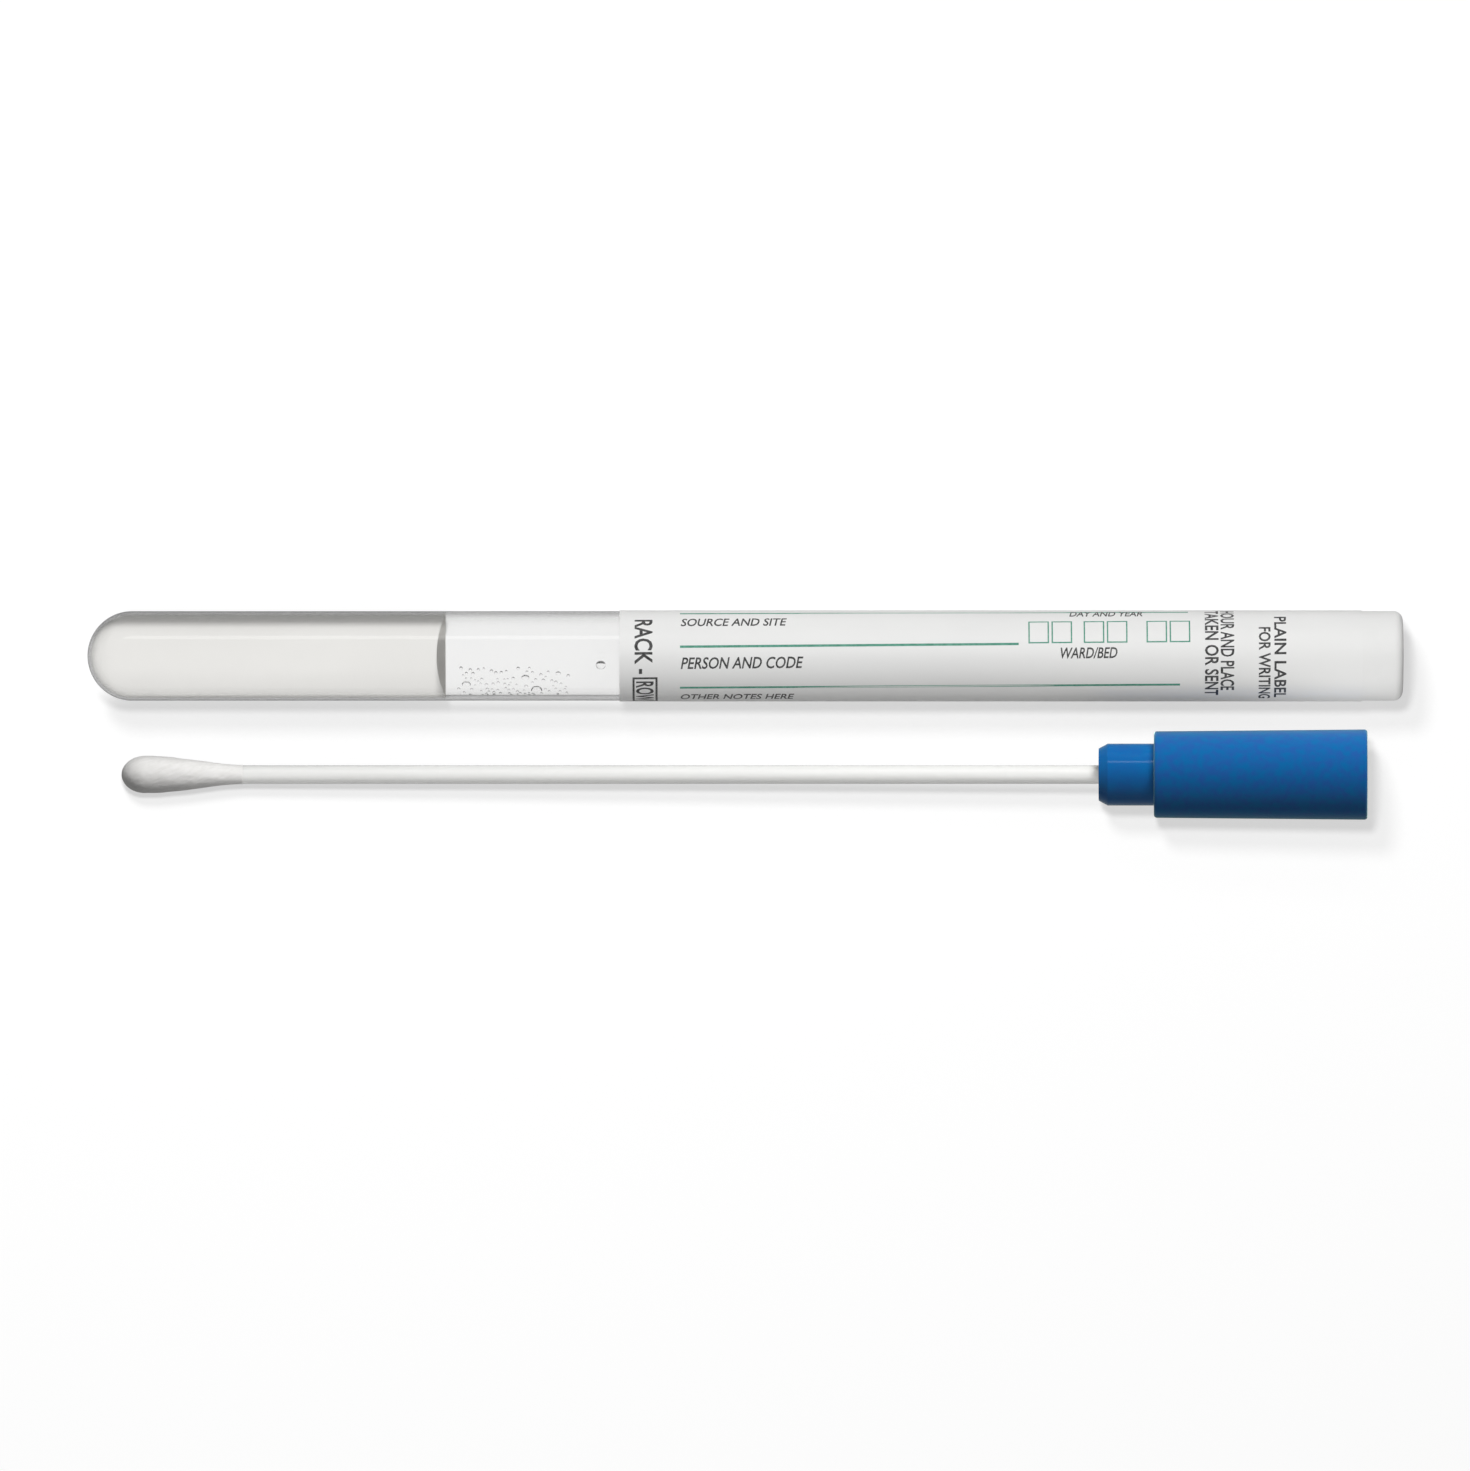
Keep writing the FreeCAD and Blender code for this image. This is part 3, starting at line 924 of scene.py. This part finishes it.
def add_droplet(mesh_data, x, angle, radius, height, stretch=1.0):
    """A bead of water on the bore: a low dome whose base follows the wall. Its side towards +Y is painted
    dark as shade.
    """
    small = radius < SMALL_DROPLET
    turns = 16 if small else 28
    rings = 5 if small else 9
    shade_edge = SMALL_BEAD_SHADE if small else BEAD_SHADE

    def ring_at(share, rise):
        ring = []
        r = bore_radius - DROPLET_GAP - rise
        for j in range(turns):
            way = math.tau * j / turns
            turn = angle + share * radius * math.sin(way) / bore_radius
            along = x + share * radius * math.cos(way) * stretch
            ring.append(mesh_data.verts.new((along, r * math.sin(turn), r * math.cos(turn))))
        return ring

    def point_at(rise):
        r = bore_radius - DROPLET_GAP - rise
        return mesh_data.verts.new((x, r * math.sin(angle), r * math.cos(angle)))

    shares = [(i + 1) / rings for i in range(rings)]
    grid = [ring_at(share, height * math.sqrt(max(0, 1 - share ** 2))) for share in shares]
    grid.append(ring_at(DROPLET_BASE, 0))
    top = point_at(height)
    base = point_at(0)
    for j in range(turns):
        k = (j + 1) % turns
        towards_back = math.sin(math.tau * (j + 0.5) / turns)
        mesh_data.faces.new((top, grid[0][j], grid[0][k]))
        mesh_data.faces.new((base, grid[-1][k], grid[-1][j]))
        for i in range(len(grid) - 1):
            face = mesh_data.faces.new((grid[i][j], grid[i + 1][j], grid[i + 1][k], grid[i][k]))
            on_dome = i < rings - 1
            # Dome faces on the side towards +Y get the near-black water: painted shade.
            if on_dome and towards_back * (i + 1.5) / rings > shade_edge:
                face.material_index = 1


def make_droplets():
    """Fine condensation on the wall above the gel, with a few larger beads."""
    rng = random.Random(DROPLET_SEED)
    built = bmesh.new()
    placed = []
    for x, angle, radius in LARGE_DROPLETS:
        add_droplet(built, x, math.radians(angle), radius, radius * DROPLET_HEIGHT, DROPLET_STRETCH)
        placed.append((x, math.radians(angle) * bore_radius, radius))
    tries = 0
    while len(placed) < DROPLET_COUNT and tries < DROPLET_TRIES:
        tries += 1
        x = gel_rim + rng.triangular(*DROPLET_SPREAD)
        angle = math.radians(rng.uniform(*DROPLET_ANGLES))
        radius = rng.choice(DROPLET_RADII)
        arc_place = angle * bore_radius
        room = radius + DROPLET_SPACING
        if any(math.hypot(x - other_x, arc_place - other_arc) < room + other_radius
               for other_x, other_arc, other_radius in placed):
            continue
        add_droplet(built, x, angle, radius, radius * DROPLET_HEIGHT)
        placed.append((x, arc_place, radius))
    piece = finish_mesh("droplets", built, tube_frame, [water_bright, water_painted_shade], sharp=50)


make_tube()
make_gel()
make_stopper()
make_label()
make_shaft()
make_cap()
make_bud()
make_ruling()
make_captions()
make_droplets()

# ---------------------------------------------------------------- floor, light and camera

# Tones of the floor and the world for the camera, for light through clear plastic and for bounced light.
FLOOR_SEEN = 0.5
FLOOR_WHITE = 0.56
FLOOR_THROUGH = 0.71
FLOOR_GLOW = 0.215
FLOOR_BOUNCE = 0.25
FLOOR_FADE = (0.14, 0.4)
FLOOR_SIZE = 6
WORLD_LIGHT = 0.15
WORLD_GLOSS = 0.6
WORLD_THROUGH = 0.8
LAMP_DISTANCE = 0.9

# The camera's height and place over the set's middle, the height of that middle, and what its frame spans.
CAMERA_HEIGHT = 3.0
CAMERA_PLACE = (-0.00134, -0.00275)
SET_MIDDLE = 0.006
FRAME_WIDTH = 0.1971
SENSOR_WIDTH = 36


def make_floor():
    """Pale floor.

    The camera sees it as white under the lamps, with the set's soft shadow kept, and plain white further off.
    Light that bounces off it is weaker, as off a sheet lit from above in a dark room.
    """
    material, tree = new_material("floor_white")
    path = add_node(tree, "LightPath")
    through_tone = add_node(tree, "Mix", {"A": FLOOR_SEEN, "B": FLOOR_THROUGH}, data_type="FLOAT")
    tone = add_node(tree, "Mix", {"B": FLOOR_BOUNCE}, data_type="FLOAT")
    diffuse = add_node(tree, "BsdfDiffuse")
    seen_glow = add_node(tree, "Math", {1: FLOOR_WHITE}, operation="MULTIPLY")
    glow_strength = add_node(tree, "Math", {1: FLOOR_GLOW}, operation="MULTIPLY_ADD")
    glow = add_node(tree, "Emission", {"Color": (1, 1, 1, 1)})
    near = add_node(tree, "AddShader")
    place = add_node(tree, "TexCoord")
    distance = add_node(tree, "VectorMath", operation="LENGTH")
    fade = add_node(tree, "MapRange", {"From Min": FLOOR_FADE[0], "From Max": FLOOR_FADE[1]})
    seen_or_mirrored = add_node(tree, "Math", operation="MAXIMUM")
    away = add_node(tree, "Math", operation="MULTIPLY")
    white = add_node(tree, "Emission", {"Color": (1, 1, 1, 1)})
    mix = add_node(tree, "MixShader")
    output = add_node(tree, "OutputMaterial")
    link(tree, path, "Is Transmission Ray", through_tone, "Factor")
    link(tree, path, "Is Diffuse Ray", tone, "Factor")
    link(tree, through_tone, "Result", tone, "A")
    link(tree, tone, "Result", diffuse, "Color")
    link(tree, path, "Is Camera Ray", seen_glow, 0)
    link(tree, path, "Is Transmission Ray", glow_strength, 0)
    link(tree, seen_glow, 0, glow_strength, 2)
    link(tree, glow_strength, 0, glow, "Strength")
    link(tree, diffuse, "BSDF", near, 0)
    link(tree, glow, "Emission", near, 1)
    link(tree, place, "Object", distance, 0)
    link(tree, distance, "Value", fade, "Value")
    link(tree, fade, "Result", away, 0)
    link(tree, path, "Is Camera Ray", seen_or_mirrored, 0)
    link(tree, path, "Is Glossy Ray", seen_or_mirrored, 1)
    link(tree, seen_or_mirrored, 0, away, 1)
    link(tree, away, 0, mix, "Fac")
    link(tree, near, "Shader", mix, 1)
    link(tree, white, "Emission", mix, 2)
    link(tree, mix, "Shader", output, "Surface")
    built = bmesh.new()
    bmesh.ops.create_grid(built, x_segments=1, y_segments=1, size=FLOOR_SIZE)
    mesh = bpy.data.meshes.new("floor")
    built.to_mesh(mesh)
    built.free()
    floor = bpy.data.objects.new("floor", mesh)
    floor.location = (0, 0, cad_box[0].z)
    mesh.materials.append(material)
    bpy.context.scene.collection.objects.link(floor)
    return floor


def make_world():
    """White for the camera, a little less through clear plastic and in gloss, and dim as a light."""
    world = bpy.data.worlds.new("studio")
    bpy.context.scene.world = world
    world.use_nodes = True
    tree = world.node_tree
    tree.nodes.clear()
    path = add_node(tree, "LightPath")
    level = add_node(tree, "Mix", {"A": WORLD_LIGHT, "B": WORLD_GLOSS}, data_type="FLOAT")
    through = add_node(tree, "Mix", {"B": WORLD_THROUGH}, data_type="FLOAT")
    seen = add_node(tree, "Mix", {"B": 1.0}, data_type="FLOAT")
    background = add_node(tree, "Background", {"Color": (1, 1, 1, 1)})
    output = add_node(tree, "OutputWorld")
    link(tree, path, "Is Glossy Ray", level, "Factor")
    link(tree, path, "Is Transmission Ray", through, "Factor")
    link(tree, path, "Is Camera Ray", seen, "Factor")
    link(tree, level, "Result", through, "A")
    link(tree, through, "Result", seen, "A")
    link(tree, seen, "Result", background, "Strength")
    link(tree, background, "Background", output, "Surface")


def make_lamp(name, zenith, azimuth, spread, level, lit=None, alone=False, shows=False, length=None,
              aim=None, distance=LAMP_DISTANCE):
    """A round area lamp aimed at the origin, or at the point that aim gives.

    zenith is its angle from straight up, azimuth from +Y towards +X, spread its half width as an angle, and
    level what a white sheet that faces it shows. lit holds the only objects it lights, alone keeps others
    from shading them, shows lets gloss mirror it, and length makes it a strip along X.
    """
    data = bpy.data.lights.new(name, "AREA")
    data.shape = "ELLIPSE"
    data.size_y = 2 * distance * math.tan(math.radians(spread))
    data.size = length or data.size_y
    data.energy = level * (math.pi * distance) ** 2
    lamp = bpy.data.objects.new(name, data)
    up = math.cos(math.radians(zenith))
    out = math.sin(math.radians(zenith))
    side = math.radians(azimuth)
    towards = Vector((out * math.sin(side), out * math.cos(side), up))
    lamp.location = (aim or Vector()) + towards * distance
    lamp.rotation_mode = "QUATERNION"
    lamp.rotation_quaternion = towards.to_track_quat("Z", "Y")
    lamp.visible_camera = False
    lamp.visible_glossy = shows
    lamp.visible_transmission = False
    bpy.context.scene.collection.objects.link(lamp)
    if lit:
        group = bpy.data.collections.new(name + "_lights")
        for piece in lit:
            group.objects.link(piece)
        lamp.light_linking.receiver_collection = group
        if alone:
            lamp.light_linking.blocker_collection = group


def make_camera():
    """Straight above the set, as wide as the photograph's framing, and far off, so that ends show square."""
    data = bpy.data.cameras.new("camera")
    data.sensor_width = SENSOR_WIDTH
    data.lens = SENSOR_WIDTH * (CAMERA_HEIGHT - SET_MIDDLE) / FRAME_WIDTH
    data.clip_end = 20
    camera = bpy.data.objects.new("camera", data)
    camera.location = (*CAMERA_PLACE, CAMERA_HEIGHT)
    bpy.context.scene.collection.objects.link(camera)
    bpy.context.scene.camera = camera


floor = make_floor()
make_world()
named = bpy.data.objects
named["cap"].visible_diffuse = False  # keeps its blue off the floor and the stick
bud_tail = Vector((bud_high.x, (bud_low.y + bud_high.y) / 2, shaft_low.z + shaft_radius))
stopper_y = (stopper_low.y + stopper_high.y) / 2
stopper_z = (stopper_low.z + stopper_high.z) / 2
stopper_tip = Vector((stopper_high.x, stopper_y, stopper_z))
glass_set = [named["clear_tube"], named["gel"], named["droplets"]]
swab_set = [named["stick"], named["cap"], named["bud"]]
white_set = [named["stopper"], named["label_wrap"], named["label_ruling"], named["label_captions"]]
make_lamp("overhead", 12.4, -12, 4, 0.46, glass_set + [floor])
make_lamp("slant", 30.8, -22, 6, 0.34, glass_set + [floor])
make_lamp("label_top", 19, 0, 20, 0.8, white_set, alone=True)
make_lamp("label_back", 100, 0, 20, 0.27, white_set, alone=True)
make_lamp("label_front", -110, 0, 20, 0.15, white_set, alone=True)
make_lamp("stopper_glow", -70, 10, 20, 0.26, white_set, alone=True, aim=stopper_tip, distance=0.026)
make_lamp("swab_side", 50, 25, 14, 0.93, swab_set)
make_lamp("cap_rim", 80, 0, 14, 0.42, [named["cap"]], alone=True)
make_lamp("cap_fill", -60, 0, 14, 0.08, [named["cap"]], alone=True)
make_lamp("stick_fill", -45, 25, 14, 0.36, [named["stick"]], alone=True)
make_lamp("bud_glow", -50, -60, 20, 0.3, [named["bud"]], alone=True, aim=bud_tail, distance=0.013)
make_lamp("streak", 48, 0, 5, 0.06, shows=True, length=0.8)
make_lamp("cap_streak", 48, 0, 2, 0.05, [named["cap"]], alone=True, shows=True, length=0.3)
make_camera()
bpy.context.scene.view_settings.view_transform = "Standard"
